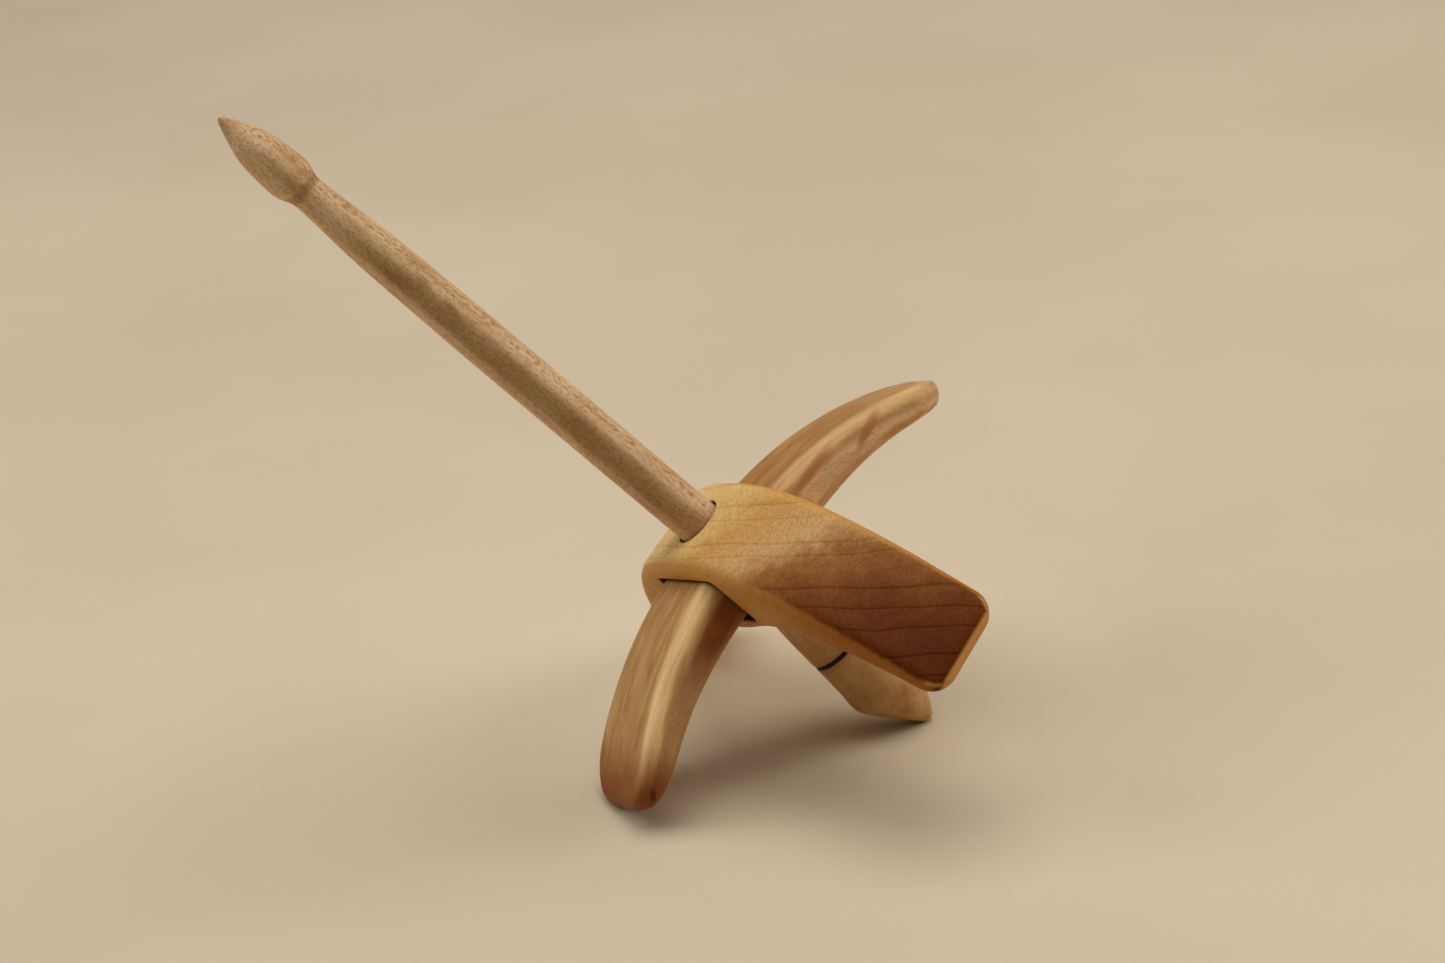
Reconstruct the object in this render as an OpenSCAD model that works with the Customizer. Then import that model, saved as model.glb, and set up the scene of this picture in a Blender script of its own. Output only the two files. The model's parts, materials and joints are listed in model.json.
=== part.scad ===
// Turkish drop spindle, resting on a table: a turned shaft, and two curved cross arms that
// slide down over it. The inner arm passes through a slot in the outer arm, and the shaft
// passes through both, so the shaft is what holds the arms together.
//
// The pieces are drawn in the spindle's own frame: the shaft along +Z with the top of the
// arms' hub at zero, the inner arm along X and the outer arm along Y. rest() then lays the
// whole spindle down on its three supports, with the floor at z = 0.

/* [Shaft] */
// Diameter of the straight part of the shaft
shaft_dia = 6.35; // [6:0.05:6.6]
// Length of the shaft above the arms, up to the tip of its head
shaft_above = 83; // [70:1:100]
// Length of the shaft below the top of the arms, down to the point of its foot
shaft_below = 44.3; // [42:0.1:50]
// Largest diameter of the spear-shaped head
head_dia = 6.2; // [5.6:0.1:6.5]
// Length of the head, from its neck to its tip
head_len = 14.4; // [12:0.2:18]
// Diameter of the neck under the head, where the yarn is hitched
neck_dia = 4.7; // [4:0.1:5.4]
// Largest diameter of the foot
foot_dia = 11.5; // [10:0.1:13]
// Depth of the burned ring around the foot
ring_depth = 0.12; // [0.05:0.01:0.3]

/* [Hub] */
// Diameter of the hole through both arms
bore_dia = 6.9; // [6.8:0.05:7.2]
// Gap between the inner arm and the slot it passes through, at each side
slot_gap = 0.45; // [0.1:0.05:0.6]
// Gap between the shaft's taper and the lower rim of the hole
seat_gap = 0.04; // [0.02:0.01:0.1]

/* [Outer arm] */
// Half the length of the outer arm, on its longer side
outer_long_half = 40.7; // [36:0.1:44]
// Half the length of the outer arm, on its shorter side
outer_short_half = 40; // [36:0.1:44]
// How far the crown of the outer arm drops at its longer end
outer_long_droop = 25.5; // [20:0.1:28]
// How far the crown of the outer arm drops at its shorter end
outer_short_droop = 24.3; // [20:0.1:28]
// How late the outer arm bends: 2 is an even curve, more is flatter at the hub
outer_bend = 2.4; // [2:0.1:3]
// Thickness of the outer arm at the hub
outer_mid_t = 15; // [14:0.1:17]
// Thickness of the outer arm at its ends
outer_end_t = 2.7; // [1.6:0.1:4]
// Width of the outer arm
outer_w = 15; // [14:0.1:17]
// Radius of the outer arm's corners, seen from above
outer_corner_r = 3.5; // [1.5:0.1:5]
// How much further out the arm's ends are cut at one edge, as a share of the width
outer_skew = 0.147; // [0:0.001:0.3]

/* [Inner arm] */
// Half the length of the inner arm
inner_half_len = 37.1; // [34:0.1:42]
// How far the crown of the inner arm drops at its broad end
inner_broad_droop = 11.1; // [8:0.1:14]
// How far the crown of the inner arm drops at its narrow end
inner_narrow_droop = 12; // [8:0.1:14]
// How late the inner arm bends: 2 is an even curve
inner_bend = 2.4; // [2:0.1:3]
// Depth of the inner arm's crown below the top of the hub
inner_depth = 3.4; // [3:0.1:4]
// Thickness of the inner arm at the hub
inner_mid_t = 7.8; // [6:0.1:8]
// Thickness of the inner arm at its ends
inner_end_t = 3.4; // [2:0.1:4]
// Width of the inner arm at the hub
inner_mid_w = 18; // [16:0.1:18.6]
// Width of the inner arm at its broad end
inner_broad_w = 19.5; // [12:0.1:20]
// Width of the inner arm at its narrow end
inner_narrow_w = 13.9; // [10:0.1:18]
// How far the inner arm's long edges bulge between the hub and its ends
inner_swell = 0.55; // [0:0.05:1]
// Length over which the inner arm's ends round off, seen from above
inner_corner_len = 7.8; // [4:0.1:9]
// How much of each half of the width the rounded ends take off
inner_corner_w = 7.1; // [4:0.1:8]

/* [Hidden] */

shaft_r = shaft_dia / 2;
bore_r = bore_dia / 2;
outer_edge_r = 2;       // rounding along the outer arm's long edges
inner_edge_r = 2.8;     // rounding along the inner arm's long edges
slot_edge_r = 1;        // rounding along the slot's edges
edge_steps = 4;         // facets in each rounded edge
stations = 15;          // sections along each half of an arm
thinning = 1.6;         // how late the arms thin towards their ends: more is later
end_share = 0.35;       // share of the thickness left at the very end of an arm
nose_len = 2.2;         // length over which an arm's end thins to that share
slot_lift = 0.25;       // gap between the inner arm's crown and the top of the slot
stem_top = 34;          // top of the straight part of the shaft
cone_top = 0.5;         // where the shaft starts to swell towards its foot
ring_z = -26.6;         // height of the burned ring
ring_w = 0.6;           // width of the burned ring
foot_widest_z = -34.3;  // height of the foot's widest place
first_up = [-0.6, 0.3, 0.75];  // rough upward direction of the resting spindle

// ---------------------------------------------------------------- shapes and curves

// A point of the smooth curve between b and c, with a and d as their neighbours.
function spline_point(a, b, c, d, t) =
    0.5 * (2 * b + (c - a) * t + (2 * a - 5 * b + 4 * c - d) * t * t
           + (3 * b - a - 3 * c + d) * t * t * t);

// A smooth curve through the points, with steps pieces between each pair.
function smooth(points, steps) =
    let (last = len(points) - 1)
    [for (i = [0 : last - 1], k = [0 : steps - 1])
        spline_point(points[max(i - 1, 0)], points[i], points[i + 1],
                     points[min(i + 2, last)], k / steps),
     points[last]];

// Outline of a rounded rectangle of half-width w, thickness t and corner radius r.
function rounded(w, t, r) =
    [for (corner = [0 : 3], k = [0 : edge_steps])
        let (a = 90 * (corner + k / edge_steps),
             side = corner == 0 || corner == 3 ? 1 : -1,
             up = corner < 2 ? 1 : -1)
        [side * (w - r) + r * cos(a), up * (t / 2 - r) + r * sin(a)]];

// What is left of a size where a rounded end starts len_r before the end.
function end_factor(to_end, len_r) =
    to_end >= len_r ? 1 : sqrt(1 - pow((len_r - max(to_end, 0)) / len_r, 2));

// An end of an arm is [half length, droop, bend, width]. An arm is [its +Y end, its -Y end,
// crown height, middle thickness, end thickness, middle width, swell, skew, corner width,
// corner length, edge radius].

// One section of an arm that lies along Y, at y = u, as points in 3-D.
function section(arm, u) =
    let (end = u > 0 ? arm[0] : arm[1],
         half = end[0],
         droop = end[1],
         bend = end[2],
         e = abs(u) / half,
         tilt = sign(u) * atan(droop * bend / half * pow(e, bend - 1)),
         to_end = (half - abs(u)) / cos(tilt),
         full_t = arm[3] + (arm[4] - arm[3]) * pow(e, thinning),
         t = full_t * max(end_factor(to_end, nose_len), end_share),
         swell = 4 * arm[6] * e * e * (1 - e * e),
         full_w = (arm[5] + (end[3] - arm[5]) * e * e + swell) / 2,
         w = full_w - arm[8] * (1 - end_factor(to_end, arm[9])),
         mid_y = u - sin(tilt) * full_t / 2,
         mid_z = arm[2] - droop * pow(e, bend) - cos(tilt) * full_t / 2)
    [for (p = rounded(w, t, min(arm[10], 0.48 * t, 0.9 * w)))
        [p[0], mid_y + arm[7] * p[0] * e * e + p[1] * sin(tilt), mid_z + p[1] * cos(tilt)]];

// All points of an arm, section after section. The sections crowd towards the ends.
function arm_points(arm) =
    [for (i = [-stations : stations])
        let (half = i > 0 ? arm[0][0] : arm[1][0])
        for (p = section(arm, half * sin(90 * i / stations))) p];

// The closed surface over those points.
module loft(points) {
    ring = 4 * (edge_steps + 1);
    rings = len(points) / ring;
    sides = [for (i = [0 : rings - 2], j = [0 : ring - 1])
        let (a = i * ring + j, b = i * ring + (j + 1) % ring)
        [a, b, b + ring, a + ring]];
    first_end = [[for (j = [ring - 1 : -1 : 0]) j]];
    last_end = [[for (j = [0 : ring - 1]) (rings - 1) * ring + j]];
    polyhedron(points, concat(sides, first_end, last_end));
}

outer_arm_points = arm_points([
    [outer_long_half, outer_long_droop, outer_bend, outer_w],
    [outer_short_half, outer_short_droop, outer_bend, outer_w],
    0, outer_mid_t, outer_end_t, outer_w, 0, outer_skew, outer_corner_r, outer_corner_r,
    outer_edge_r]);

// The inner arm is the same kind of loft, turned to lie along X with its broad end at +X.
function along_x(points) = [for (p = points) [p[1], -p[0], p[2]]];
inner_arm_points = along_x(arm_points([
    [inner_half_len, inner_broad_droop, inner_bend, inner_broad_w],
    [inner_half_len, inner_narrow_droop, inner_bend, inner_narrow_w],
    -inner_depth, inner_mid_t, inner_end_t, inner_mid_w, inner_swell, 0, inner_corner_w,
    inner_corner_len, inner_edge_r]));

// The slot follows the inner arm's curve at a constant size, with a gap all round.
slot_w = inner_mid_w + 2 * slot_gap;
slot_t = inner_mid_t + slot_lift + slot_gap;
slot_points = along_x(arm_points([
    [inner_half_len, inner_broad_droop, inner_bend, slot_w],
    [inner_half_len, inner_narrow_droop, inner_bend, slot_w],
    slot_lift - inner_depth, slot_t, slot_t, slot_w, 0, 0, inner_corner_w,
    inner_corner_len, slot_edge_r]));

// The shaft's outline as [radius, height], from the point of the foot up to the tip.
seat_r = bore_r - seat_gap;
shaft_outline = concat(
    [[0, -shaft_below]],
    smooth([[0.9, -shaft_below + 0.35], [3, -40.6], [foot_dia / 2 - 0.3, -36.2],
            [foot_dia / 2, foot_widest_z], [5.4, -32], [4.95, ring_z - ring_w]], 5),
    [[4.9 - ring_depth, ring_z - ring_w / 4], [4.9 - ring_depth, ring_z + ring_w / 4]],
    smooth([[4.87, ring_z + ring_w], [4.2, -19.4], [seat_r, -outer_mid_t]], 5),
    [[shaft_r, cone_top], [shaft_r, stem_top]],
    smooth([[shaft_r - 0.03, stem_top + 8], [shaft_r - 0.28, stem_top + 23],
            [neck_dia / 2 + 0.05, shaft_above - head_len - 3],
            [neck_dia / 2, shaft_above - head_len], [head_dia / 2 - 0.15, shaft_above - 12.5],
            [head_dia / 2, shaft_above - 10.5], [head_dia / 2 - 0.55, shaft_above - 5.5],
            [0.9, shaft_above - 1.2], [0.3, shaft_above - 0.15]], 5),
    [[0, shaft_above]]);

// ---------------------------------------------------------------- resting on the floor

// The point of a piece that lies lowest when up is the upward direction.
function lowest(points, up) =
    let (heights = [for (p = points) p * up], low = min(heights))
    [for (i = [0 : len(points) - 1]) if (heights[i] == low) points[i]][0];

// The rim points of the shaft's outline that face the direction.
function rims(direction) =
    let (across = [direction[0], direction[1]] / norm([direction[0], direction[1]]))
    [for (q = shaft_outline) [q[0] * across[0], q[0] * across[1], q[1]]];

// The upward direction at which all three pieces touch the floor, from a rough first one.
function settled(up, steps) =
    steps == 0 ? up :
    let (shaft_low = lowest(rims(-up), up),
         outer_low = lowest(outer_arm_points, up),
         inner_low = lowest(inner_arm_points, up),
         normal = cross(outer_low - shaft_low, inner_low - shaft_low),
         facing = normal * up > 0 ? 1 : -1)
    settled(normal * facing / norm(normal), steps - 1);

up_axis = settled(first_up / norm(first_up), 6);
// The row's +X runs along the floor under the shaft, towards the head.
head_axis = cross(cross(up_axis, [0, 0, 1]), up_axis) / norm(cross(up_axis, [0, 0, 1]));
side_axis = cross(up_axis, head_axis);

// The lowest and highest reach of the whole spindle along a direction.
function reach_low(axis) = min([for (p = concat(outer_arm_points, inner_arm_points,
    rims(-axis))) p * axis]);
function reach_mid(axis) = (reach_low(axis) - reach_low(-axis)) / 2;

// Lays the spindle down, with the middle of its footprint at the origin.
module rest() {
    multmatrix([concat(head_axis, -reach_mid(head_axis)),
                concat(side_axis, -reach_mid(side_axis)),
                concat(up_axis, -reach_low(up_axis))])
        children();
}

// ---------------------------------------------------------------- the pieces

// The hole that the shaft passes through.
module bore() {
    translate([0, 0, -outer_mid_t - 10]) cylinder(r = bore_r, h = outer_mid_t + 20, $fn = 64);
}

// The turned shaft: pointed foot, burned ring, seat for the arms, straight stem and head.
module shaft() {
    color("navajowhite")
        rest() rotate_extrude($fn = 64) polygon(shaft_outline);
}

// The wide blade, with the slot for the inner arm right through its thick middle.
module outer_arm() {
    color("peru")
        rest() difference() {
            loft(outer_arm_points);
            bore();
            loft(slot_points);
        }
}

// The slimmer arm that passes through the outer arm's slot.
module inner_arm() {
    color("burlywood")
        rest() difference() {
            loft(inner_arm_points);
            bore();
        }
}

shaft();
outer_arm();
inner_arm();
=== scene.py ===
"""Looks of a Turkish drop spindle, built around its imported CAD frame.

The spindle's own frame has the shaft along +Z with the top of the arms' hub at zero, the inner
arm along X and the outer arm along Y. Each piece is built there and then laid down as the CAD has
it. Its points keep their first place as an attribute, which the materials read, so that the grain
follows the piece. Lengths below are in millimetres unless they say otherwise.
"""

import json
import math

import bmesh
import bpy
import numpy as np
from mathutils import Matrix, Vector


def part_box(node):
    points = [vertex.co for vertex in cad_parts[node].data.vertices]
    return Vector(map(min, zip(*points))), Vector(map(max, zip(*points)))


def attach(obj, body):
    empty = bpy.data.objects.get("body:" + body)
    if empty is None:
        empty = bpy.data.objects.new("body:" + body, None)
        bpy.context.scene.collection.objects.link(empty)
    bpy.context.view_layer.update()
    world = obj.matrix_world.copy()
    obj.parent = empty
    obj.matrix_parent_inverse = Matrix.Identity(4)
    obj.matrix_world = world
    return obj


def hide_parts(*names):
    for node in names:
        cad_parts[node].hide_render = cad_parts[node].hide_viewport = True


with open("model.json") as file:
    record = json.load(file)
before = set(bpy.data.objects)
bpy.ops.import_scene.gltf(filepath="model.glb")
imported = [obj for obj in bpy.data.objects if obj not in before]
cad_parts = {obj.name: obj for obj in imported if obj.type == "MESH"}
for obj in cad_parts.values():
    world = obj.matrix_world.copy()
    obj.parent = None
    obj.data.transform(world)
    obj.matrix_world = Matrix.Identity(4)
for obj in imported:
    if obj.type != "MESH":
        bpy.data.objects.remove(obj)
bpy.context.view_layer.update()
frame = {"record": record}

MM = 0.001  # metres in a millimetre

# ------------------------------------------------------------------ the spindle's own frame

STEM_BOTTOM, STEM_TOP = 0.5, 34.0  # the straight part of the shaft
REST_TURN = math.radians(28.898)  # the inner arm's turn about the shaft as the spindle rests

stem = next(mount for mount in frame["record"]["mounts"] if mount["name"] == "shaft_stem")
shaft_axis = Vector(stem["axis"]).normalized()
hub_top = Vector(stem["pos_m"]) - shaft_axis * (STEM_BOTTOM + STEM_TOP) / 2 * MM
row_side = Vector((0, 1, 0))
inner_axis = row_side.cross(shaft_axis) * math.cos(REST_TURN) + row_side * math.sin(REST_TURN)
outer_axis = shaft_axis.cross(inner_axis)
SPINDLE = Matrix.Translation(hub_top) @ Matrix((inner_axis, outer_axis, shaft_axis)).transposed().to_4x4()

# ------------------------------------------------------------------ camera

# The camera's angles are in degrees; an azimuth of 180 looks along -Y.
CAMERA_AZIMUTH = 178.514
CAMERA_ELEVATION = 22.551
CAMERA_ROLL = -6.400
CAMERA_DISTANCE = 429.44 * MM  # from the place it aims at
CAMERA_LENS, CAMERA_SENSOR = 79.8, 36.0
AIM_FROM_HUB = Vector((-4.057, -1.775, 4.528)) * MM


def make_camera():
    azimuth, elevation, roll = map(math.radians, (CAMERA_AZIMUTH, CAMERA_ELEVATION, CAMERA_ROLL))
    back = Vector((
        math.sin(azimuth) * math.cos(elevation),
        -math.cos(azimuth) * math.cos(elevation),
        math.sin(elevation),
    ))
    level_right = Vector((0, 0, 1)).cross(back).normalized()
    right = level_right * math.cos(roll) + back.cross(level_right) * math.sin(roll)
    camera = bpy.data.objects.new("camera", bpy.data.cameras.new("camera"))
    camera.data.lens = CAMERA_LENS
    camera.data.sensor_width = CAMERA_SENSOR
    camera.data.clip_start = 0.01
    turn = Matrix((right, back.cross(right), back)).transposed().to_4x4()
    camera.matrix_world = Matrix.Translation(hub_top + AIM_FROM_HUB + back * CAMERA_DISTANCE) @ turn
    bpy.context.scene.collection.objects.link(camera)
    bpy.context.scene.camera = camera


make_camera()

# ------------------------------------------------------------------ shader graphs


class Shader:
    """A material, with its nodes made by short calls that return sockets."""

    def __init__(self, name, shine):
        self.material = bpy.data.materials.new(name)
        self.material.use_nodes = True
        self.tree = self.material.node_tree
        self.surface = self.tree.nodes["Principled BSDF"]
        self.surface.inputs["Specular IOR Level"].default_value = shine

    def wire(self, socket, value):
        """Links a socket, or sets a number, colour or vector on it."""
        if isinstance(value, bpy.types.NodeSocket):
            self.tree.links.new(value, socket)
        elif hasattr(socket.default_value, "__len__") and len(value) < len(socket.default_value):
            socket.default_value = (*value, 1)
        else:
            socket.default_value = value

    def node(self, kind, wires, output=0, **settings):
        made = self.tree.nodes.new(kind)
        for name, value in settings.items():
            setattr(made, name, value)
        for name, value in wires.items():
            self.wire(made.inputs[name], value)
        return made.outputs[output]

    def math(self, operation, first, second=0.0):
        return self.node("ShaderNodeMath", {0: first, 1: second}, operation=operation)

    def add(self, *values):
        total = values[0]
        for value in values[1:]:
            total = self.math("ADD", total, value)
        return total

    def times(self, *values):
        product = values[0]
        for value in values[1:]:
            product = self.math("MULTIPLY", product, value)
        return product

    def absolute(self, value):
        return self.math("ABSOLUTE", value)

    def towards(self, parts, direction):
        """How far a place lies in a direction, from the place's parts."""
        return self.add(*(self.times(part, share) for part, share in zip(parts, direction)))

    def between(self, share, low, high):
        """A number from low to high, by a share from 0 to 1."""
        return self.add(self.times(share, high - low), low)

    def shift(self, noise, amount):
        """A noise from 0 to 1 turned into a shift of up to half the amount either way."""
        return self.times(self.add(noise, -0.5), amount)

    def fade(self, value, start, end, low=0.0, high=1.0):
        """A smooth step from low to high as the value goes from start to end."""
        wires = {"Value": value, "From Min": start, "From Max": end, "To Min": low, "To Max": high}
        return self.node("ShaderNodeMapRange", wires, interpolation_type="SMOOTHSTEP")

    def mix(self, share, first, second, blend="MIX"):
        made = self.tree.nodes.new("ShaderNodeMix")
        made.data_type, made.blend_type = "RGBA", blend
        self.wire(made.inputs[0], share)
        self.wire(made.inputs[6], first)
        self.wire(made.inputs[7], second)
        return made.outputs[2]

    def tinted(self, colour, tint):
        """A colour multiplied by a tint."""
        return self.mix(1.0, colour, tint, "MULTIPLY")

    def ramp(self, value, stops):
        """Colours over a value from 0 to 1, as (place, colour) pairs."""
        made = self.tree.nodes.new("ShaderNodeValToRGB")
        points = made.color_ramp.elements
        while len(points) < len(stops):
            points.new(1.0)
        for point, (place, colour) in zip(points, stops):
            point.position = place
            point.color = (*colour, 1)
        self.wire(made.inputs[0], value)
        return made.outputs[0]

    def vector(self, x, y, z):
        return self.node("ShaderNodeCombineXYZ", {"X": x, "Y": y, "Z": z})

    def scaled(self, place, x, y, z):
        """A place with each of its axes stretched, so that a pattern is finer along a larger one."""
        return self.node("ShaderNodeVectorMath", {0: place, 1: (x, y, z)}, operation="MULTIPLY")

    def noise(self, place, detail=2.0, roughness=0.5, distortion=0.0):
        wires = {"Vector": place, "Scale": 1.0, "Detail": detail, "Roughness": roughness}
        return self.node("ShaderNodeTexNoise", {**wires, "Distortion": distortion})

    def cells(self, place):
        """Distance to the nearest of many scattered points."""
        return self.node("ShaderNodeTexVoronoi", {"Vector": place, "Scale": 1.0})

    def oval(self, along, across, centre, slope, size):
        """1 inside a long slanting mark, falling to 0 at its size, (half length, half width)."""
        forward = self.add(along, -centre[0])
        sideways = self.add(across, -centre[1], self.times(forward, -slope))
        scaled = self.vector(self.times(forward, 1 / size[0]), self.times(sideways, 1 / size[1]), 0.0)
        away = self.node("ShaderNodeVectorMath", {0: scaled}, output="Value", operation="LENGTH")
        return self.fade(away, 1.0, 0.35)

    def attribute(self, name):
        return self.node("ShaderNodeAttribute", {}, output="Fac", attribute_name=name)

    def place(self):
        """The spindle frame's coordinates in millimetres, as a vector and as its three parts."""
        place = self.node("ShaderNodeAttribute", {}, output="Vector", attribute_name="place")
        parts = self.tree.nodes.new("ShaderNodeSeparateXYZ")
        self.tree.links.new(place, parts.inputs[0])
        return place, *parts.outputs

    def finish(self, colour, roughness, height, depth):
        """Wires up the surface. Height from 0 to 1 stands for that depth, in millimetres."""
        self.wire(self.surface.inputs["Base Color"], colour)
        self.wire(self.surface.inputs["Roughness"], roughness)
        bump = self.node("ShaderNodeBump", {"Height": height, "Strength": 1.0, "Distance": depth * MM})
        self.wire(self.surface.inputs["Normal"], bump)
        return self.material


# ------------------------------------------------------------------ meshes


def smooth_curve(points, steps):
    """A Catmull-Rom curve through the points, with steps pieces between each pair."""
    points = np.array(points, float)
    padded = np.vstack([points[:1], points, points[-1:]])
    t = np.linspace(0, 1, steps, endpoint=False)[:, None]
    pieces = [
        0.5 * (2 * b + (c - a) * t + (2 * a - 5 * b + 4 * c - d) * t**2 + (3 * b - a - 3 * c + d) * t**3)
        for a, b, c, d in zip(padded, padded[1:], padded[2:], padded[3:])
    ]
    return np.vstack([*pieces, points[-1:]])


def add_mesh(name, vertices, faces):
    mesh = bpy.data.meshes.new(name)
    mesh.from_pydata([tuple(v) for v in vertices], [], faces)
    mesh.update()
    made = bpy.data.objects.new(name, mesh)
    bpy.context.scene.collection.objects.link(made)
    return made


def grid_faces(rings, ring, closed_ends):
    """Quads between successive rings of points, and a cap at each end if asked."""
    faces = [
        (i * ring + j, i * ring + (j + 1) % ring, (i + 1) * ring + (j + 1) % ring, (i + 1) * ring + j)
        for i in range(rings - 1)
        for j in range(ring)
    ]
    if closed_ends:
        faces.append(tuple(range(ring - 1, -1, -1)))
        faces.append(tuple((rings - 1) * ring + j for j in range(ring)))
    return faces


def read_points(mesh):
    points = np.zeros(len(mesh.vertices) * 3, np.float32)
    mesh.vertices.foreach_get("co", points)
    return points.reshape(-1, 3).astype(float)


def write_points(mesh, points):
    mesh.vertices.foreach_set("co", points.astype(np.float32).ravel())
    mesh.update()


def with_modifiers(made):
    """Applies the object's modifiers, and returns its new mesh."""
    graph = bpy.context.evaluated_depsgraph_get()
    mesh = bpy.data.meshes.new_from_object(made.evaluated_get(graph))
    made.modifiers.clear()
    made.data = mesh
    return mesh


def smoothed(mesh, points, share, rounds):
    """Points moved towards their neighbours' middle. Share is 0 to 1, or one such number a point."""
    ends = np.zeros(len(mesh.edges) * 2, np.int32)
    mesh.edges.foreach_get("vertices", ends)
    first, second = ends.reshape(-1, 2).T
    count = np.bincount(ends, minlength=len(points))[:, None]
    share = np.broadcast_to(np.asarray(share, float).reshape(-1, 1), (len(points), 1))
    for _ in range(rounds):
        total = np.zeros_like(points)
        for axis in range(3):
            total[:, axis] = np.bincount(first, points[second, axis], len(points))
            total[:, axis] += np.bincount(second, points[first, axis], len(points))
        points = points + share * (total / count - points)
    return points


def finish_piece(made, name, node, material):
    """Names a piece and lays it in its CAD node's place and box, which it rides on and replaces."""
    points = read_points(made.data)
    places = made.data.attributes.new("place", "FLOAT_VECTOR", "POINT")
    places.data.foreach_set("vector", points.astype(np.float32).ravel())
    placed = points * MM @ np.array(SPINDLE.to_3x3()).T + np.array(SPINDLE.translation)
    low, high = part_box(node)
    write_points(made.data, np.clip(placed, np.array(low), np.array(high)))
    made.name = name
    made.data.name = name
    made.data.materials.clear()
    made.data.materials.append(material)
    made.data.polygons.foreach_set("use_smooth", [True] * len(made.data.polygons))
    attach(made, node)
    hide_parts(node)


# ------------------------------------------------------------------ the arms' shape

THINNING = 1.6  # how late the arms thin towards their ends
END_SHARE = 0.35  # share of the thickness left at the very end
NOSE_LEN = 2.2  # length over which an end thins to that share
BORE_R = 3.45
SLOT_GAP, SLOT_LIFT = 0.45, 0.25  # the slot's clearance beside and below the inner arm, and above it
STATIONS = 96  # sections along each half of an arm
EDGE_STEPS = 10  # points round each rounded edge
ROUND_MAX = (0.48, 0.9)  # most rounding, as shares of an arm's thickness and half width
VOXEL = 0.25  # size of the remeshed arms' faces
SEARCH_ROUNDS, SEARCH_STEP = 12, 0.7  # how the place along an arm nearest a point is found
SANDING, SANDING_ROUNDS, LIP_ROUNDS = 0.5, 3, 2  # share and rounds of smoothing, and more on the lips


class Arm:
    """A curved arm along its own Y, wide along X, its crown dropping towards both ends.

    Plus and minus are its +Y and -Y ends, each (half length, droop, bend, width). Swell is how far
    its long edges bulge, and skew how much further out its ends are cut at +X. The corner is the
    width and the length that the rounded ends take off.
    """

    def __init__(self, plus, minus, crown, mid_t, end_t, mid_w, swell, skew, corner, edge_r):
        self.plus, self.minus, self.crown = plus, minus, crown
        self.mid_t, self.end_t, self.mid_w = mid_t, end_t, mid_w
        self.swell, self.skew, self.corner, self.edge_r = swell, skew, corner, edge_r

    def end(self, u):
        """Half length, droop, bend and width of the end that each u is on."""
        return [np.where(u > 0, plus, minus) for plus, minus in zip(self.plus, self.minus)]

    def share(self, u):
        return np.abs(u) / self.end(u)[0]

    def tilt(self, u):
        half, droop, bend, _ = self.end(u)
        return np.sign(u) * np.arctan(droop * bend / half * self.share(u) ** (bend - 1))

    def height(self, u):
        _, droop, bend, _ = self.end(u)
        return self.crown - droop * self.share(u) ** bend

    def to_end(self, u):
        return np.maximum((self.end(u)[0] - np.abs(u)) / np.cos(self.tilt(u)), 0)

    def end_factor(self, u, length):
        """What is left of a size where a rounded end starts that length before the end."""
        return np.sqrt(1 - (np.maximum(length - self.to_end(u), 0) / length) ** 2)

    def full_thickness(self, u):
        return self.mid_t + (self.end_t - self.mid_t) * self.share(u) ** THINNING

    def thickness(self, u):
        return self.full_thickness(u) * np.maximum(self.end_factor(u, NOSE_LEN), END_SHARE)

    def half_width(self, u):
        squared = self.share(u) ** 2
        bulge = 4 * self.swell * squared * (1 - squared)
        full_w = (self.mid_w + (self.end(u)[3] - self.mid_w) * squared + bulge) / 2
        return full_w - self.corner[0] * (1 - self.end_factor(u, self.corner[1]))

    def section(self, u):
        """The rounded rectangle at u along the arm, as points in 3-D."""
        t, w, tilt = self.thickness(u), self.half_width(u), self.tilt(u)
        r = min(self.edge_r, ROUND_MAX[0] * t, ROUND_MAX[1] * w)
        quarters = np.repeat(np.arange(4), EDGE_STEPS + 1)
        a = np.radians(90 * (quarters + np.tile(np.arange(EDGE_STEPS + 1) / EDGE_STEPS, 4)))
        side = np.repeat([1, -1, -1, 1], EDGE_STEPS + 1)
        up = np.repeat([1, 1, -1, -1], EDGE_STEPS + 1)
        across = side * (w - r) + r * np.cos(a)
        rise = up * (t / 2 - r) + r * np.sin(a) - self.full_thickness(u) / 2
        y = u + self.skew * across * self.share(u) ** 2 + rise * np.sin(tilt)
        return np.column_stack([across, y, self.height(u) + rise * np.cos(tilt)])

    def loft(self, name):
        turns = np.radians(90 * np.arange(STATIONS, -STATIONS - 1, -1) / STATIONS)
        places = np.where(turns > 0, self.plus[0], self.minus[0]) * np.sin(turns)
        sections = [self.section(u) for u in places]
        ring = len(sections[0])
        return add_mesh(name, np.vstack(sections), grid_faces(len(sections), ring, True))

    def surface_places(self, points):
        """For points near the arm: place along it, depth below its crown, and distance from an edge."""
        across, y, z = points.T
        u = y.copy()
        for _ in range(SEARCH_ROUNDS):
            tilt = self.tilt(u)
            straight_y = y - self.skew * across * self.share(u) ** 2
            u += SEARCH_STEP * ((straight_y - u) * np.cos(tilt) - (z - self.height(u)) * np.sin(tilt))
            u = np.clip(u, -self.minus[0], self.plus[0])
        tilt = self.tilt(u)
        straight_y = y - self.skew * across * self.share(u) ** 2
        depth = (u - straight_y) * np.sin(tilt) + (self.height(u) - z) * np.cos(tilt)
        from_side = self.half_width(u) - np.abs(across)
        from_face = np.minimum(depth, self.full_thickness(u) - depth)
        near = np.sort(np.maximum([from_side, from_face, self.to_end(u)], 0), axis=0)
        return u, depth, np.hypot(near[0], near[1])


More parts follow.
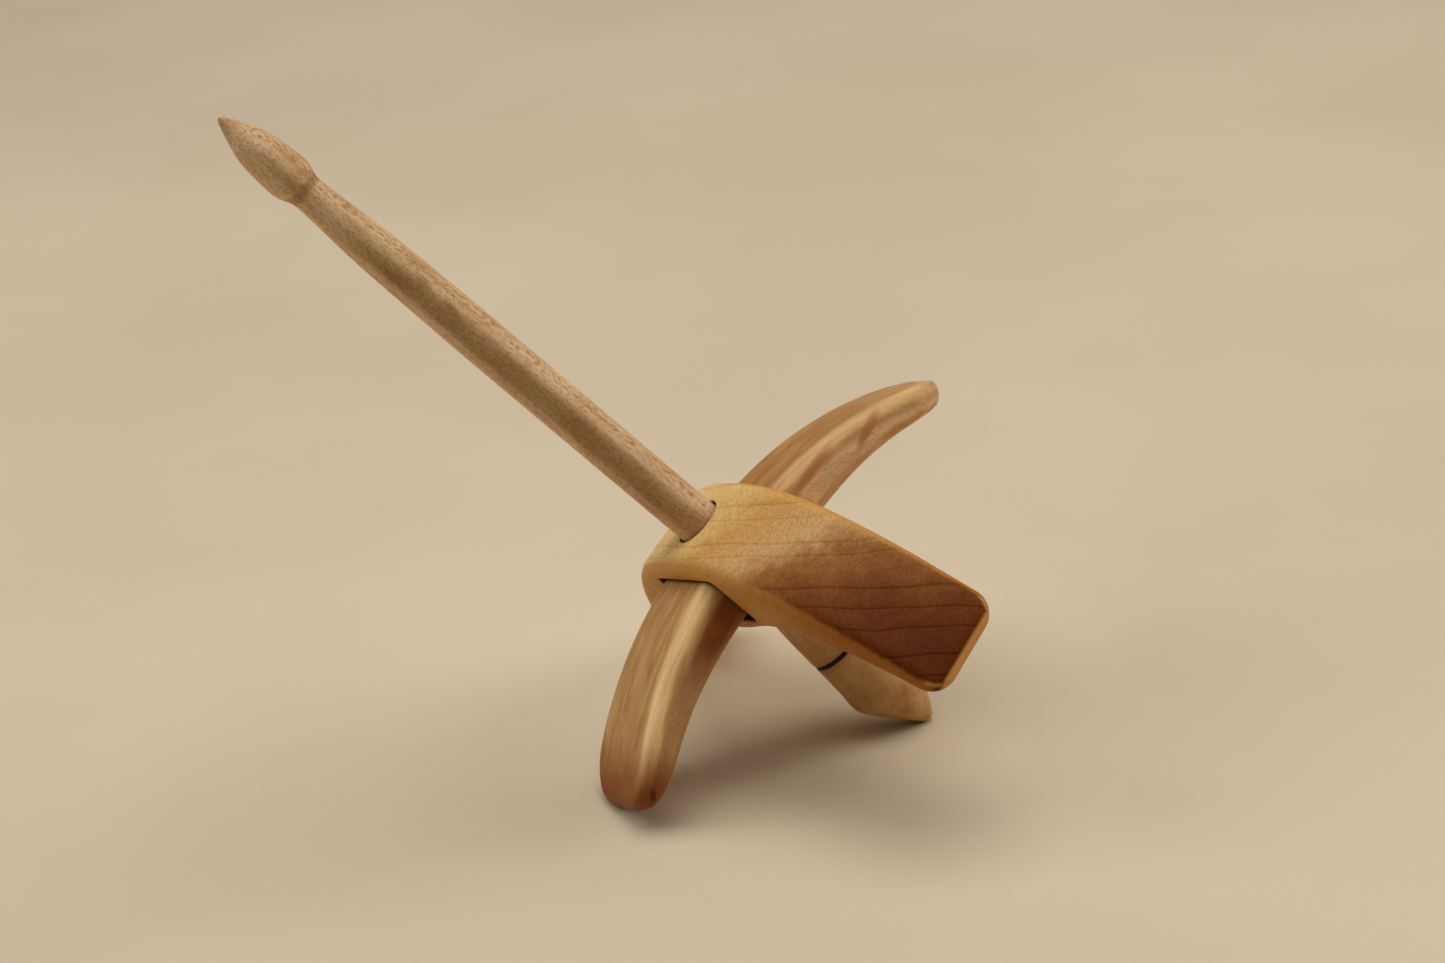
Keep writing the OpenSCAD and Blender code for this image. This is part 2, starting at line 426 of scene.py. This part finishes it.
OUTER = Arm((40.7, 25.5, 2.4, 15.0), (40.0, 24.3, 2.4, 15.0), crown=0.0, mid_t=15.0, end_t=2.7,
            mid_w=15.0, swell=0.0, skew=0.147, corner=(3.5, 3.5), edge_r=2.0)
INNER = Arm((37.1, 11.1, 2.4, 19.5), (37.1, 12.0, 2.4, 13.9), crown=-3.4, mid_t=7.8, end_t=3.4,
            mid_w=18.0, swell=0.55, skew=0.0, corner=(7.1, 7.8), edge_r=2.8)
SLOT_W = INNER.mid_w + 2 * SLOT_GAP
SLOT_T = INNER.mid_t + SLOT_LIFT + SLOT_GAP
SLOT = Arm((*INNER.plus[:3], SLOT_W), (*INNER.minus[:3], SLOT_W), INNER.crown + SLOT_LIFT,
           SLOT_T, SLOT_T, SLOT_W, 0.0, 0.0, INNER.corner, 1.0)
QUARTER = Matrix.Rotation(math.radians(-90), 4, "Z")  # turns an arm to lie along X
BORE_LEN = 2.4 * OUTER.mid_t  # enough to pass through the hub from either side
BORE_STEPS = 96


def cut(made, cutter):
    """Takes the cutter's shape out of an object and removes the cutter."""
    modifier = made.modifiers.new("cut", "BOOLEAN")
    modifier.operation, modifier.object, modifier.solver = "DIFFERENCE", cutter, "EXACT"
    with_modifiers(made)
    bpy.data.objects.remove(cutter)


def bore_cutter():
    """A cylinder for the shaft's hole, through the hub."""
    cutter = bpy.data.objects.new("bore", bpy.data.meshes.new("bore"))
    bpy.context.scene.collection.objects.link(cutter)
    shape = bmesh.new()
    bmesh.ops.create_cone(
        shape, cap_ends=True, segments=BORE_STEPS, radius1=BORE_R, radius2=BORE_R, depth=BORE_LEN)
    shape.to_mesh(cutter.data)
    shape.free()
    return cutter


def lengthwise(points):
    """Points of an arm that lies along X, turned back to lie along Y."""
    return np.column_stack([-points[:, 1], points[:, 0], points[:, 2]])


def falling(values, full, none):
    """1 up to full, falling evenly to 0 at none."""
    return np.clip((none - values) / (none - full), 0, 1)


def near_slot(points):
    """How much points are on the lips of the slot's mouths, and on its walls inside, from 0 to 1. The walls
    inside are where the material paints shade.
    """
    _, depth, _ = SLOT.surface_places(lengthwise(points))
    outside = np.maximum.reduce([-depth, depth - SLOT_T, np.abs(points[:, 1]) - SLOT_W / 2])
    inwards = OUTER.mid_w / 2 - np.abs(points[:, 0])
    on_wall = falling(np.abs(outside), 0.3, 0.8)
    lips = on_wall * falling(np.abs(inwards), 0.75, 2.25)
    inside = on_wall * falling(-inwards, -0.25, 0)
    return lips, inside


def sanded_arm(arm, name):
    """An arm with its openings cut, remeshed evenly and sanded, with what its material reads."""
    made = arm.loft(name)
    if arm is INNER:
        made.data.transform(QUARTER)
    cut(made, bore_cutter())
    if arm is OUTER:
        slot = SLOT.loft("slot")
        slot.data.transform(QUARTER)
        cut(made, slot)
    remesh = made.modifiers.new("remesh", "REMESH")
    remesh.mode, remesh.voxel_size, remesh.adaptivity = "VOXEL", VOXEL, 0
    mesh = with_modifiers(made)
    points = smoothed(mesh, read_points(mesh), SANDING, SANDING_ROUNDS)
    marks = {}
    if arm is OUTER:
        lips, marks["in_slot"] = near_slot(points)
        points = smoothed(mesh, points, SANDING * lips, LIP_ROUNDS)
    write_points(mesh, points)
    marks["along"], marks["depth"], marks["from_edge"] = arm.surface_places(
        points if arm is OUTER else lengthwise(points))
    for key, values in marks.items():
        mesh.attributes.new(key, "FLOAT", "POINT").data.foreach_set("value", values.astype(np.float32))
    return made


# ------------------------------------------------------------------ the shaft's shape

SHAFT_ABOVE, SHAFT_BELOW = 83.0, 44.3
SHAFT_R = 6.35 / 2
HEAD_R, HEAD_LEN, NECK_R = 3.1, 14.4, 2.35
FOOT_R, FOOT_WIDEST_Z = 5.75, -34.3
RING_Z, RING_W, RING_DEPTH = -26.6, 0.6, 0.12
SEAT_R = BORE_R - 0.04
NECK_Z = SHAFT_ABOVE - HEAD_LEN
ROUND_STEPS = 128
CURVE_STEPS = 12  # pieces between each pair of the outline's points
STEM_STEPS = 24


def shaft_outline():
    """The shaft's outline as [radius, height] pairs, from the point of the foot up to the tip."""
    foot = [[0.9, -SHAFT_BELOW + 0.35], [3, -40.6], [FOOT_R - 0.3, -36.2], [FOOT_R, FOOT_WIDEST_Z],
            [5.4, -32], [4.95, RING_Z - RING_W]]
    ring = [[4.9 - RING_DEPTH, RING_Z - RING_W / 4], [4.9 - RING_DEPTH, RING_Z + RING_W / 4]]
    seat = [[4.87, RING_Z + RING_W], [4.2, -19.4], [SEAT_R, -OUTER.mid_t]]
    top = [[SHAFT_R - 0.03, STEM_TOP + 8], [SHAFT_R - 0.28, STEM_TOP + 23],
           [NECK_R + 0.05, NECK_Z - 3], [NECK_R, NECK_Z],
           [HEAD_R - 0.15, SHAFT_ABOVE - 12.5], [HEAD_R, SHAFT_ABOVE - 10.5],
           [HEAD_R - 0.55, SHAFT_ABOVE - 5.5], [0.9, SHAFT_ABOVE - 1.2], [0.3, SHAFT_ABOVE - 0.15]]
    point, tip = [0.25, -SHAFT_BELOW + 0.02], [0.12, SHAFT_ABOVE - 0.02]
    foot, seat, top = (smooth_curve(points, CURVE_STEPS) for points in (foot, seat, top))
    stem_line = np.linspace([SHAFT_R, STEM_BOTTOM], [SHAFT_R, STEM_TOP], STEM_STEPS)
    return np.vstack([[point], foot, ring, seat, stem_line, top, [tip]])


def make_shaft():
    """The outline turned round the shaft's axis."""
    outline = shaft_outline()
    turn = np.linspace(0, 2 * math.pi, ROUND_STEPS, endpoint=False)
    rings = [
        np.column_stack([r * np.cos(turn), r * np.sin(turn), np.full(ROUND_STEPS, z)])
        for r, z in outline
    ]
    return add_mesh("shaft", np.vstack(rings), grid_faces(len(rings), ROUND_STEPS, True))


# ------------------------------------------------------------------ materials

# Directions across the shaft, as shares of X and Y.
FLECKED_FACE = (0.809, 0.588)  # the rows of broad flecks lie a quarter turn from this, on both sides
SHADED_SIDE = (0.45, 0.89)  # painted shade: the stem is painted darker and warmer on this side, its shaded side


def shaft_material():
    """Pale, close-grained wood, full of short ray flecks, with the burned ring and painted shade down one
    side of the stem.
    """
    s = Shader("shaft_wood", shine=0.08)
    place, x, y, z = s.place()
    streaks = s.noise(s.scaled(place, 1.3, 1.3, 0.08), detail=4)
    mottle = s.noise(s.scaled(place, 0.35, 0.35, 0.12), detail=3)
    wood = s.ramp(
        s.add(s.times(streaks, 0.5), s.times(mottle, 0.5)),
        [(0.30, (0.50, 0.28, 0.125)), (0.50, (0.73, 0.49, 0.275)), (0.68, (0.82, 0.60, 0.385))],
    )
    dashes = s.fade(s.cells(s.scaled(place, 3.5, 3.5, 1.3)), 0.56, 0.20)
    wood = s.mix(s.times(dashes, 0.5), wood, s.tinted(wood, (0.55, 0.42, 0.30)))

    # Broad flecks show where the rays lie flat in the surface, in a row along two sides.
    off_row = s.absolute(s.towards((x, y), FLECKED_FACE))
    broad = s.fade(s.cells(s.scaled(place, 2.6, 2.6, 0.8)), 0.44, 0.28)
    wood = s.mix(s.times(s.fade(off_row, 0.85, 0.45), broad, 0.85), wood, (0.40, 0.19, 0.05))
    across = s.times(x, -0.97)
    figure = s.add(
        s.oval(z, across, centre=(50.0, 0.2), slope=0.1, size=(2.2, 0.8)),
        s.oval(z, across, centre=(44.5, -0.3), slope=0.25, size=(2.8, 0.7)),
    )
    wood = s.mix(s.times(figure, s.fade(y, 0, 1), 0.45), wood, (0.36, 0.17, 0.06))

    foot = s.fade(z, -17, -24)
    blotch = s.noise(s.scaled(place, 0.25, 0.25, 0.18), detail=3, roughness=0.6)
    foot_tone = s.ramp(
        blotch, [(0.35, (0.66, 0.39, 0.155)), (0.55, (0.55, 0.285, 0.10)), (0.70, (0.42, 0.165, 0.038))])
    wood = s.mix(s.times(foot, 0.8), wood, foot_tone)
    neck = s.fade(s.absolute(s.add(z, -NECK_Z - 0.5)), 1.1, 0.2)
    wood = s.mix(s.times(neck, 0.5), wood, (0.30, 0.12, 0.035))
    on_stem = s.times(s.fade(z, 70, 64), s.fade(z, -2, 2))
    # Painted shade: a darker, warmer band down the stem's shaded side.
    side_shade = s.times(s.fade(s.towards((x, y), SHADED_SIDE), 2.45, 3.1), s.fade(streaks, 0.3, 0.6, 0.6, 1.0))
    wood = s.mix(s.times(side_shade, on_stem, 0.85), wood, s.tinted(wood, (0.60, 0.49, 0.33)))
    tip = s.fade(z, SHAFT_ABOVE - 4, SHAFT_ABOVE)
    wood = s.mix(s.times(tip, 0.5), wood, (0.42, 0.20, 0.11))

    wobble = s.shift(s.noise(s.scaled(place, 1.2, 1.2, 1.2)), 0.25)
    from_ring = s.absolute(s.add(z, -RING_Z, wobble))
    scorch = s.fade(from_ring, 1.4, 0.2)
    burned = s.fade(from_ring, 0.42, 0.26)
    wood = s.mix(s.times(scorch, 0.35), wood, (0.20, 0.09, 0.035))
    wood = s.mix(burned, wood, (0.022, 0.010, 0.006))
    roughness = s.add(s.times(dashes, 0.08), 0.44)
    height = s.add(s.times(dashes, -0.5), s.times(streaks, 0.5))
    return s.finish(wood, roughness, height, 0.04)


# The outer arm's growth rings: their places across the grain, and the direction they face.
RING_PLACES = (-11.0, -7.8, -4.6, -1.65, -0.05, 3.3, 4.9, 9.4, 12.1, 14.85, 18.4, 20.9, 24.0)
RING_NORMAL = (0.787, 0.045, -0.617)
# Its colours, from the sapwood of its hub to the heartwood of its +Y end, over this length.
HEART_LEN = 44.0
HEART_SLANT = 0.8  # how much sooner the heartwood starts on the +X side
HEART_COLOURS = [
    (0.0, (0.88, 0.64, 0.275)), (0.12, (0.83, 0.58, 0.235)), (0.25, (0.68, 0.38, 0.12)),
    (0.43, (0.69, 0.44, 0.195)), (0.55, (0.37, 0.155, 0.045)), (0.65, (0.26, 0.095, 0.025)),
    (0.76, (0.185, 0.055, 0.011)), (0.88, (0.135, 0.034, 0.006)), (1.0, (0.118, 0.028, 0.005)),
]


def growth_rings(s, across):
    """How late in its year's growth the wood is, from 0 to 1, across the unevenly spaced rings."""
    first, last = RING_PLACES[0], RING_PLACES[-1]
    count = len(RING_PLACES) - 1
    stops = [((p - first) / (last - first), (i / count,) * 3) for i, p in enumerate(RING_PLACES)]
    share = s.node("ShaderNodeMapRange", {"Value": across, "From Min": first, "From Max": last})
    return s.math("FRACT", s.times(s.ramp(share, stops), count))


def outer_arm_material():
    """Golden sapwood that turns to red-brown heartwood towards one end, with oblique growth rings, and
    painted shade in its hole and slot.
    """
    s = Shader("outer_arm_wood", shine=0.04)
    place, x, y, z = s.place()
    along, from_edge = s.attribute("along"), s.attribute("from_edge")
    drift = s.shift(s.noise(s.scaled(place, 0.10, 0.045, 0.10), detail=1), 2.2)
    across = s.add(s.towards((x, y, z), RING_NORMAL), drift)
    phase = growth_rings(s, across)
    late = s.math("POWER", phase, 5.0)
    line = s.add(s.fade(phase, 0.90, 0.985), s.times(s.fade(phase, 0.05, 0.0), 0.6))

    patch = s.noise(s.scaled(place, 0.16, 0.05, 0.16), detail=3)
    ragged = s.noise(s.vector(s.times(across, 0.8), s.times(y, 0.9), 0.0), detail=3)
    heart = s.add(y, s.times(x, HEART_SLANT), s.shift(patch, 10), s.shift(ragged, 6))
    heart_share = s.node("ShaderNodeMapRange", {"Value": heart, "From Min": 0.0, "From Max": HEART_LEN})
    wood = s.ramp(heart_share, HEART_COLOURS)
    rays = s.noise(s.vector(s.times(across, 0.9), s.times(y, 5.0), s.times(s.add(x, z), 1.6)), detail=3)
    pores = s.noise(s.scaled(place, 5, 1.2, 5), detail=2)
    grain = s.add(s.times(rays, 0.6), s.times(pores, 0.4))
    browner = s.tinted(wood, (0.60, 0.46, 0.36))
    deep = s.fade(heart, 16, 40)
    wood = s.mix(s.fade(grain, 0.40, 0.62, 0, 0.55), wood, browner)
    wood = s.mix(s.times(late, s.between(deep, 0.10, 0.45)), wood, browner)
    wood = s.mix(s.times(line, s.between(deep, 0.30, 0.75)), wood, s.tinted(wood, (0.56, 0.34, 0.19)))

    # The sanded edges and sides are more golden than the faces, though less so in the heartwood.
    from_middle = s.absolute(along)
    near_end = s.fade(from_middle, 38.5, 39.5)
    end_rim = s.times(near_end, s.fade(s.add(from_edge, s.shift(ragged, 0.6)), 1.0, 0.5))
    end_rim = s.math("MAXIMUM", end_rim, s.fade(from_middle, 40.1, 40.4))
    wood = s.mix(s.times(end_rim, 0.9), wood, (0.66, 0.31, 0.09))
    past_side = s.add(s.absolute(x), -OUTER.mid_w / 2, s.shift(ragged, 0.7))
    side = s.fade(past_side, s.between(deep, -1.5, -0.9), s.between(deep, -0.6, -0.25))
    side_tone = s.mix(deep, (0.64, 0.32, 0.085), (0.42, 0.155, 0.026))
    side_tone = s.mix(s.fade(grain, 0.42, 0.62, 0, 0.4), side_tone, s.tinted(side_tone, (0.62, 0.48, 0.38)))
    wood = s.mix(s.times(side, 0.85), wood, side_tone)

    # Painted shade: the walls of the shaft's hole and of the slot are painted nearly black, as shade inside
    # these openings.
    from_axis = s.math("SQRT", s.add(s.times(x, x), s.times(y, y)))
    bore_shade = s.fade(from_axis, BORE_R + 0.2, BORE_R + 0.02)
    opening_shade = s.math("MAXIMUM", s.attribute("in_slot"), bore_shade)
    wood = s.mix(s.times(opening_shade, 0.9), wood, (0.07, 0.02, 0.007))
    roughness = s.add(s.times(grain, 0.12), 0.42)
    height = s.add(s.times(grain, 0.7), s.times(line, -0.3))
    return s.finish(wood, roughness, height, 0.03)


def inner_arm_material():
    """Golden brown satin wood with darker flecks and a small knot, a painted highlight along its ridge, and
    painted shade by the hub and in the slot.
    """
    s = Shader("inner_arm_wood", shine=0.08)
    _, _, y, _ = s.place()
    along, depth, from_edge = (s.attribute(key) for key in ("along", "depth", "from_edge"))
    mottle = s.noise(
        s.vector(s.times(along, 0.15), s.times(y, 0.55), s.times(depth, 0.55)), detail=3, distortion=0.8)
    streaks = s.noise(s.vector(s.times(along, 0.09), s.times(y, 2.0), s.times(depth, 2.0)), detail=4)
    tone = s.add(s.times(mottle, 0.75), s.times(streaks, 0.25))
    wood = s.ramp(
        tone, [(0.36, (0.40, 0.20, 0.07)), (0.50, (0.51, 0.28, 0.104)), (0.64, (0.61, 0.36, 0.147))])

    narrow_end = s.fade(along, 4, -6)
    hub_side_shade = s.fade(along, 24, 13)
    browner_top = s.times(narrow_end, s.fade(along, -34, -24))
    wood = s.mix(browner_top, wood, s.tinted(wood, (0.88, 0.80, 0.73)))
    # Painted shade: towards the hub the sides are painted dark brown, as the shadow of the outer arm above
    # them.
    side = s.fade(depth, 1.6, 3.0)
    side_tone = s.mix(hub_side_shade, (0.57, 0.345, 0.175), (0.20, 0.040, 0.002))
    side_tone = s.mix(narrow_end, side_tone, (0.84, 0.56, 0.30))
    side_tone = s.mix(s.fade(tone, 0.58, 0.42, 0, 0.5), side_tone, s.tinted(side_tone, (0.72, 0.60, 0.50)))
    wood = s.mix(s.times(side, 0.85), wood, side_tone)

    # Painted highlight: a pale band along the ridge on the +Y side, where the light catches it.
    ridge_highlight = s.times(s.fade(from_edge, 0.4, 1.6), s.fade(from_edge, 4.2, 2.2), s.fade(depth, 1.6, 0.8))
    highlight_strength = s.times(s.fade(narrow_end, 0, 1, 1.0, 0.55), s.fade(streaks, 0.35, 0.62, 0.6, 0.95))
    wood = s.mix(s.times(ridge_highlight, s.fade(y, 0, 2), highlight_strength), wood, (0.90, 0.65, 0.32))
    rim = s.times(s.fade(s.add(from_edge, s.shift(mottle, 2.0)), 1.8, 0.8), s.fade(depth, 2.6, 3.6))
    wood = s.mix(s.times(rim, 0.75), wood, (0.56, 0.25, 0.055))

    slanted = s.vector(s.times(along, 1.3), s.times(y, 4.0), s.towards((depth, along), (4.0, 0.9)))
    dashes = s.fade(s.cells(slanted), 0.42, 0.16)
    wood = s.mix(s.times(dashes, s.between(side, 0.14, 0.36)), wood, (0.20, 0.085, 0.028))

    broad_tip = s.fade(along, 28, 35.5)
    wood = s.mix(s.times(broad_tip, 0.92), wood, (0.235, 0.054, 0.003))
    # Painted shade: where the arm passes through the outer arm's slot it is painted dark, as shade between
    # the parts.
    in_slot = s.fade(s.absolute(along), 8.0, 7.2)
    wood = s.mix(s.times(in_slot, 0.85), wood, (0.10, 0.035, 0.01))
    flecks = s.add(
        s.oval(along, depth, centre=(-23.7, 1.9), slope=0.477, size=(3.6, 1.0)),
        s.oval(along, depth, centre=(-13.5, 1.6), slope=0.143, size=(6.5, 0.85)),
    )
    wood = s.mix(s.times(flecks, s.fade(y, 3, 6), 0.85), wood, (0.38, 0.155, 0.05))
    knot = s.oval(along, depth, centre=(35.1, 1.9), slope=0.5, size=(1.1, 0.6))
    wood = s.mix(s.times(knot, s.fade(y, 2, 4), 0.8), wood, (0.09, 0.012, 0.002))
    roughness = s.add(s.times(tone, 0.12), 0.34)
    height = s.add(s.times(streaks, 0.5), s.times(dashes, -0.3))
    return s.finish(wood, roughness, height, 0.03)


def floor_material():
    """Plain pale ground with a faint, broad mottle. Its coordinates are in metres."""
    s = Shader("floor", shine=0.2)
    place = s.scaled(s.node("ShaderNodeTexCoord", {}, output="Object"), 9, 9, 9)
    tone = s.mix(s.fade(s.noise(place, detail=4), 0.35, 0.65), (0.66, 0.56, 0.42), (0.70, 0.60, 0.455))
    return s.finish(tone, 0.9, s.noise(s.scaled(place, 200, 200, 200)), 0.05)


# ------------------------------------------------------------------ pieces

finish_piece(make_shaft(), "shaft_turned", "shaft", shaft_material())
finish_piece(
    sanded_arm(OUTER, "outer"), "outer_arm_carved", "outer_arm", outer_arm_material())
finish_piece(
    sanded_arm(INNER, "inner"), "inner_arm_carved", "inner_arm", inner_arm_material())

# ------------------------------------------------------------------ floor and light

FLOOR_SIZE = 4.0  # metres
LAMP_COLOUR = (1.0, 0.95, 0.88)
ROOM_COLOUR, ROOM_STRENGTH = (0.95, 0.88, 0.78, 1), 0.05


def make_floor():
    half = FLOOR_SIZE / 2
    corners = [(-half, -half, 0), (half, -half, 0), (half, half, 0), (-half, half, 0)]
    floor = add_mesh("floor", corners, [(0, 1, 2, 3)])
    floor.data.materials.append(floor_material())


def add_lamp(name, place, size, power):
    """A soft square light that faces the hub, its place and size in metres and its power in watts."""
    lamp = bpy.data.objects.new(name, bpy.data.lights.new(name, "AREA"))
    lamp.data.shape, lamp.data.size = "SQUARE", size
    lamp.data.energy, lamp.data.color = power, LAMP_COLOUR
    lamp.location = place
    lamp.rotation_mode = "QUATERNION"
    lamp.rotation_quaternion = (Vector(place) - hub_top).to_track_quat("Z", "Y")
    bpy.context.scene.collection.objects.link(lamp)


def light_room():
    """The faint light that comes from all round."""
    world = bpy.data.worlds.new("room")
    world.use_nodes = True
    background = world.node_tree.nodes["Background"]
    background.inputs["Color"].default_value = ROOM_COLOUR
    background.inputs["Strength"].default_value = ROOM_STRENGTH
    bpy.context.scene.world = world
    bpy.context.scene.view_settings.view_transform = "Standard"


make_floor()
add_lamp("overhead", (-0.02, 0.0, 1.0), 0.8, 6.6)
add_lamp("left", (1.1, -0.15, 0.95), 0.9, 6.3)
add_lamp("right", (-1.2, -0.1, 0.70), 0.9, 6.3)
light_room()
